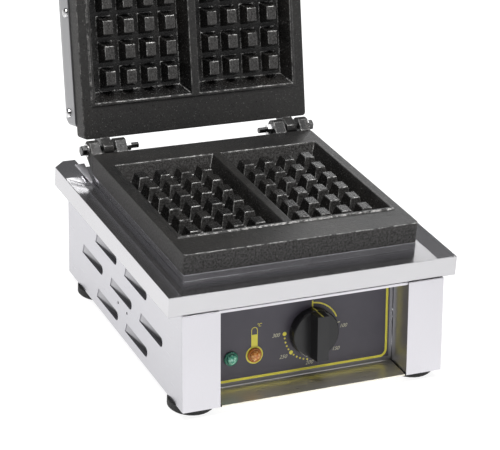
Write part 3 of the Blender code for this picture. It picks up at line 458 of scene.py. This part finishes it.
def make_looks():
    """All the materials, and the one that each CAD node gets, by the start of its name."""
    steel = casing_steel()
    tray = brushed_steel(
        "tray_steel",
        (0.57, 0.565, 0.58),
        (0.54, 0.535, 0.55),
        (40, 40, 40),
        (0.20, 0.23),
        depth=0.0000005,
        edge=0.0008,
    )
    light, dark = (0.68, 0.67, 0.705), (0.64, 0.63, 0.66)
    strip = brushed_steel("strip_steel", light, dark, (1500, 1500, 30), (0.28, 0.38))
    light, dark = (0.29, 0.29, 0.30), (0.265, 0.265, 0.27)
    cover = brushed_steel("cover_steel", light, dark, (1400, 1400, 30), (0.3, 0.4))
    recess = ledge_steel()
    blackened = bright_metal("blackened_steel", (0.10, 0.10, 0.10), (0.03, 0.03, 0.03), (0.14, 0.3))
    lower_iron = cast_iron(
        "lower_cast_iron", LOWER_FACE, LOWER_FACE_AT, LOWER_FRONT, LOWER_FRONT_AT, lit_and_worn_tops=False
    )
    upper_iron = cast_iron(
        "upper_cast_iron", UPPER_FACE, UPPER_FACE_AT, UPPER_FRONT, UPPER_FRONT_AT, lit_and_worn_tops=True
    )
    fixing = bright_metal("plated_steel", (0.72, 0.72, 0.73), (0.30, 0.29, 0.28), (0.16, 0.32))
    element = bright_metal("element_sheath", (0.30, 0.28, 0.25), (0.12, 0.11, 0.10), (0.3, 0.5))
    light, dark = (0.013, 0.013, 0.014), (0.008, 0.008, 0.009)
    plastic = moulded("black_plastic", light, dark, (0.28, 0.42), 1600.0, 0.00008)
    light, dark = (0.020, 0.018, 0.017), (0.010, 0.009, 0.009)
    grip = moulded("grip_resin", light, dark, (0.22, 0.36), 700.0, 0.00008)
    light, dark = (0.022, 0.022, 0.022), (0.009, 0.009, 0.009)
    rubber = moulded("black_rubber", light, dark, (0.6, 0.8), 1800.0, 0.0002)
    light, dark = (0.082, 0.075, 0.095), (0.070, 0.064, 0.082)
    slate = moulded("slate_film", light, dark, (0.38, 0.5), 2400.0, 0.00005)
    light, dark = (0.80, 0.77, 0.70), (0.68, 0.65, 0.58)
    ceramic = moulded("ceramic", light, dark, (0.4, 0.6), 900.0, 0.0001)
    light, dark = (0.62, 0.56, 0.44), (0.50, 0.45, 0.35)
    bakelite = moulded("bakelite", light, dark, (0.35, 0.5), 900.0, 0.0001)
    wool = fibres("mineral_wool", (0.62, 0.56, 0.40), (0.40, 0.35, 0.24))
    green = lens("green_lens", (0.42, 0.86, 0.66), (0.03, 0.30, 0.19))
    amber = lens("amber_lens", (0.98, 0.58, 0.20), (0.60, 0.16, 0.01))
    light, dark = (0.05, 0.30, 0.20), (0.02, 0.15, 0.09)
    green_rim = moulded("green_rim", light, dark, (0.15, 0.3), 900.0, 0.0001)
    light, dark = (0.62, 0.20, 0.02), (0.40, 0.10, 0.01)
    amber_rim = moulded("amber_rim", light, dark, (0.15, 0.3), 900.0, 0.0001)
    return [
        ("casing", steel),
        ("bottom_pan", steel),
        ("front_strip", strip),
        ("drip_tray", tray),
        ("plate_pedestal", tray),
        ("rear_guard", strip),
        ("recess_lip", strip),
        ("recess_ledge", recess),
        ("control_panel", cover),
        ("panel_label", slate),
        ("lid_cover", cover),
        ("lower_plate", lower_iron),
        ("upper_plate", upper_iron),
        ("lower_heater", element),
        ("upper_heater", element),
        ("lower_insulation", wool),
        ("upper_insulation", wool),
        ("terminal_block", ceramic),
        ("thermostat_body", bakelite),
        ("thermostat_probe", element),
        ("thermostat_shaft", fixing),
        ("cord_gland", plastic),
        ("green_lamp_lens", green),
        ("amber_lamp_lens", amber),
        ("green_lamp_holder", green_rim),
        ("amber_lamp_holder", amber_rim),
        ("knob", plastic),
        ("foot_screw", fixing),
        ("foot_", rubber),
        ("cover_screw", fixing),
        ("hinge_bolt", blackened),
        ("hinge_", fixing),
        ("arm_screw", fixing),
        ("grip_bolt", fixing),
        ("handle_arm", strip),
        ("grip", grip),
    ]


# The radius of the softened edges of some CAD nodes, in millimetres
SOFT_EDGES = {
    "casing": 0.5,
    "front_strip_left": 0.4,
    "front_strip_right": 0.4,
    "plate_pedestal": 0.8,
    "lid_cover": 0.5,
    "knob": 0.8,
    "recess_lip": 0.3,
    "recess_ledge": 0.3,
    "handle_arm_left": 0.5,
    "handle_arm_right": 0.5,
}


def soften(node, width):
    """Rounds the sharp edges of a CAD node with modifiers, and leaves its mesh as it is."""
    weld = node.modifiers.new("weld", "WELD")
    weld.merge_threshold = 0.00001
    bevel = node.modifiers.new("soft_edges", "BEVEL")
    bevel.width = width * MM
    bevel.segments = 2
    bevel.limit_method = "ANGLE"
    bevel.angle_limit = radians(30)
    bevel.miter_outer = "MITER_SHARP"


def finish_nodes():
    """Gives each CAD node its material, and softened edges where it has them."""
    looks = make_looks()
    for name, node in NODES.items():
        look = next(made for start, made in looks if name.startswith(start))
        node.data.materials.clear()
        node.data.materials.append(look)
        if name in SOFT_EDGES:
            soften(node, SOFT_EDGES[name])


# The printing and the knob's line, in millimetres on the control panel: across, up the slope and out

PANEL_PLACE = Matrix.Translation((0, -0.1871, 0.0103)) @ Matrix.Rotation(radians(-7.69), 4, "X")
LABEL_FACE = 0.6  # how far out the label's face is
PRINT_THICKNESS = 0.08
PRINT_LOW = LABEL_FACE - 0.02
PRINT_HIGH = LABEL_FACE + PRINT_THICKNESS

BORDER_SIDE = 93
BORDER_TOP = 92.3
BORDER_BOTTOM = 5.5
BORDER_CORNER = 7.0
BORDER_WIDTH = 2.5

SCALE_CENTRE = (10.5, 44.2)
SCALE_RADIUS = 28.8
SCALE_WIDTH = 1.5
DOTS_RADIUS = SCALE_RADIUS + 0.6
LARGE_DOTS = (178, 221)
SMALL_DOTS = (187, 196, 204, 212, 229, 237, 245, 253, 261)
NUMBERS = {
    "100": (44.6, 44.4),
    "150": (36.8, 21.5),
    "200": (8.0, 11.3),
    "250": (-20.4, 21.6),
    "300": (-28.4, 44.9),
}

AMBER_AT = (-51.0, 28.6)
GLASS_HALF_WIDTH = 3.1
GLASS_BOTTOM = 49.0

# The knob's line from the side: how far out, and how far up from the knob's centre
POINTER_PROFILE = ((1.8, 24.4), (11.0, 24.4), (12.1, 23.5), (18.5, 23.15), (25.7, 22.8))


def panel_point(x, up, out):
    return PANEL_PLACE @ Vector((x * MM, -out * MM, up * MM))


def on_circle(centre, radius, degrees):
    angle = radians(degrees)
    return (centre[0] + radius * cos(angle), centre[1] + radius * sin(angle))


def arc(centre, radius, start, end, steps):
    return [on_circle(centre, radius, start + (end - start) * i / steps) for i in range(steps + 1)]


def ribbon(points, width):
    """The two sides of a line of the given width along a row of points."""
    left = []
    right = []
    for i, point in enumerate(points):
        before = Vector(points[max(i - 1, 0)])
        after = Vector(points[min(i + 1, len(points) - 1)])
        heading = (after - before).normalized()
        across = Vector((-heading.y, heading.x)) * width / 2
        left.append(Vector(point) + across)
        right.append(Vector(point) - across)
    return left, right


def add_tube(shape, rings):
    """A closed solid through rings of panel points, each point given as (across, up, out)."""
    rows = [[shape.verts.new(panel_point(*point)) for point in ring] for ring in rings]
    count = len(rows[0])
    for first, second in zip(rows, rows[1:]):
        for i in range(count):
            j = (i + 1) % count
            shape.faces.new((first[i], first[j], second[j], second[i]))
    shape.faces.new(rows[0])
    shape.faces.new(rows[-1])


def add_strip(shape, left, right):
    """A thin raised strip between two rows of points on the label."""
    rings = []
    for a, b in zip(left, right):
        rings.append([(*a, PRINT_LOW), (*a, PRINT_HIGH), (*b, PRINT_HIGH), (*b, PRINT_LOW)])
    add_tube(shape, rings)


def add_dot(shape, centre, radius):
    """A round dot on the label with a slightly domed face."""
    rings = []
    for size, out in ((1.0, PRINT_LOW), (1.0, PRINT_HIGH - 0.02), (0.85, PRINT_HIGH)):
        rings.append([(x, up, out) for x, up in arc(centre, radius * size, 0, 345, 23)])
    add_tube(shape, rings)


def make_piece(name, shape, look, body):
    """Turns a finished shape into a piece that rides a body of the assembly."""
    bmesh.ops.recalc_face_normals(shape, faces=shape.faces)
    mesh = bpy.data.meshes.new(name)
    shape.to_mesh(mesh)
    shape.free()
    piece = bpy.data.objects.new(name, mesh)
    bpy.context.scene.collection.objects.link(piece)
    mesh.materials.append(look)
    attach(piece, body)


def print_lines(name, lines, look):
    """One piece of print, from a list of (points, width)."""
    shape = bmesh.new()
    for points, width in lines:
        left, right = ribbon(points, width)
        add_strip(shape, left, right)
    make_piece(name, shape, look, "base")


def print_text(name, words, at, size, look):
    """Slanted lettering, turned into a mesh and laid on the label."""
    data = bpy.data.curves.new(name, "FONT")
    data.body = words
    data.size = size * MM
    data.shear = 0.35
    data.align_x = "CENTER"
    data.align_y = "CENTER"
    data.extrude = 0.5 * PRINT_THICKNESS * MM
    guide = bpy.data.objects.new(name, data)
    bpy.context.scene.collection.objects.link(guide)
    bpy.context.view_layer.update()
    graph = bpy.context.evaluated_depsgraph_get()
    shape = bmesh.new()
    shape.from_mesh(bpy.data.meshes.new_from_object(guide.evaluated_get(graph)))
    bpy.data.objects.remove(guide, do_unlink=True)
    out = (LABEL_FACE + PRINT_THICKNESS / 2) * MM
    stand = Matrix.Translation((at[0] * MM, -out, at[1] * MM)) @ Matrix.Rotation(pi / 2, 4, "X")
    bmesh.ops.transform(shape, matrix=PANEL_PLACE @ stand, verts=shape.verts)
    make_piece(name, shape, look, "base")


def make_border(look):
    """The line down both sides of the label and along its bottom."""
    corner_up = BORDER_BOTTOM + BORDER_CORNER
    border = [(-BORDER_SIDE, BORDER_TOP), (-BORDER_SIDE, corner_up)]
    border += arc((-BORDER_SIDE + BORDER_CORNER, corner_up), BORDER_CORNER, 180, 270, 8)
    border += arc((BORDER_SIDE - BORDER_CORNER, corner_up), BORDER_CORNER, 270, 360, 8)
    border += [(BORDER_SIDE, BORDER_TOP)]
    print_lines("print_border", [(border, BORDER_WIDTH)], look)


def make_scale(look, tick_look):
    """The off mark with the arc beside it, a tick past the arc's end, and the dots."""
    scale = [
        ([(11.0, 68.6), (11.0, 75.4)], SCALE_WIDTH),
        (arc(SCALE_CENTRE, SCALE_RADIUS, 88, 22, 24), SCALE_WIDTH),
    ]
    print_lines("print_heat_arc", scale, look)
    tick = [on_circle(SCALE_CENTRE, 27.4, 9), on_circle(SCALE_CENTRE, 31.0, 9)]
    print_lines("print_scale_tick", [(tick, 1.0)], tick_look)
    dots = bmesh.new()
    for degrees in LARGE_DOTS:
        add_dot(dots, on_circle(SCALE_CENTRE, DOTS_RADIUS, degrees), 2.1)
    for degrees in SMALL_DOTS:
        add_dot(dots, on_circle(SCALE_CENTRE, DOTS_RADIUS, degrees), 0.95)
    make_piece("print_scale_dots", dots, look, "base")


def make_thermometer(look):
    """A thermometer sign with the amber lamp as its bulb."""
    x, up = AMBER_AT
    bulb_and_stem = [
        (arc(AMBER_AT, 8.3, 0, 360, 40), 1.6),
        ([(x, up + 8.2), (x, 49.5)], 6.8),
    ]
    glass = [(x - GLASS_HALF_WIDTH, GLASS_BOTTOM), (x - GLASS_HALF_WIDTH, 53.6)]
    glass += arc((x, 53.8), GLASS_HALF_WIDTH, 180, 0, 10)
    glass += [(x + GLASS_HALF_WIDTH, GLASS_BOTTOM)]
    print_lines("print_thermometer", bulb_and_stem, look)
    print_lines("print_thermometer_glass", [(glass, 0.6)], look)


def make_printing():
    light, dark = (0.94, 0.85, 0.10), (0.84, 0.75, 0.08)
    yellow = moulded("yellow_print", light, dark, (0.4, 0.55), 1500.0, 0.00003)
    light, dark = (0.70, 0.68, 0.50), (0.60, 0.58, 0.42)
    pale = moulded("pale_print", light, dark, (0.4, 0.55), 1500.0, 0.00003)
    make_border(yellow)
    make_scale(yellow, pale)
    make_thermometer(yellow)
    print_text("print_degrees", "°C", (-46.5, 58.6), 4.6, yellow)
    for words, at in NUMBERS.items():
        print_text("print_" + words, words, at, 5.4, pale)


def make_pointer():
    """The painted line over the rim of the knob's disc and up the end of its grip bar."""
    light, dark = (0.86, 0.80, 0.14), (0.76, 0.70, 0.11)
    look = moulded("pointer_paint", light, dark, (0.35, 0.5), 1500.0, 0.00003)
    x, up = SCALE_CENTRE
    rings = []
    for out, reach in POINTER_PROFILE:
        inner = up + reach - 0.2
        outer = up + reach + 0.12
        ring = [(x - 0.65, inner, out), (x - 0.55, outer, out), (x + 0.55, outer, out)]
        ring.append((x + 0.65, inner, out))
        rings.append(ring)
    shape = bmesh.new()
    add_tube(shape, rings)
    make_piece("knob_pointer", shape, look, "control_knob")


make_camera()
make_studio()
finish_nodes()
make_printing()
make_pointer()
